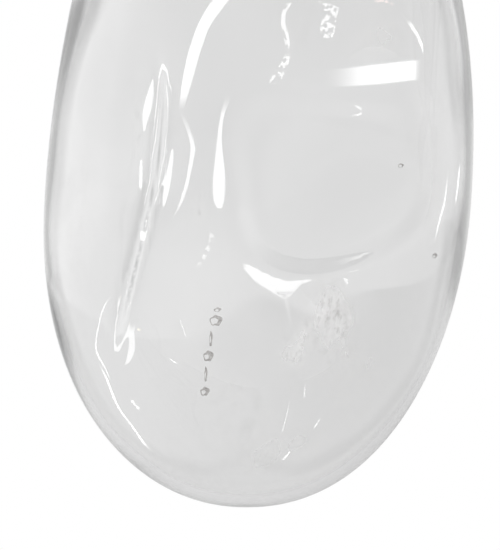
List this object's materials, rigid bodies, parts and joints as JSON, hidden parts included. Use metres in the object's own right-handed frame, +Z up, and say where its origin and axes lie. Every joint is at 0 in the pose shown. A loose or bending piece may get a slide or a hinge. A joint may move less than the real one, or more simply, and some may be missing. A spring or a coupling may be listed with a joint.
{
  "type": "tubulated retort",
  "caption": "Blown glass distilling retort: a long egg-shaped bulb bent over into a drooping tapered neck, with an upright socket and a ground stopper that lifts out.",
  "frame": {"origin": "lowest point of the bulb's outside, on the bulb's axis, where the bulb sits in its support ring", "axes": "+Z up, +X the way the neck leaves the bulb, so XZ is the plane of symmetry"},
  "size_m": [0.4118, 0.13, 0.286],
  "materials": {
    "blown_glass": "clear, fire-polished, slightly uneven blown wall",
    "stopper_glass": "clear pressed grip, finely ground taper"
  },
  "bodies": {
    "glass": {"bulb": "blown_glass", "neck": "blown_glass", "tubulure": "blown_glass"},
    "stopper": {"stopper": "stopper_glass"}
  },
  "joints": [
    {"name": "stopper_lift", "type": "slide", "parent": "glass", "child": "stopper", "axis": [0, 0, 1], "range_m": [0, 0.045]}
  ]
}
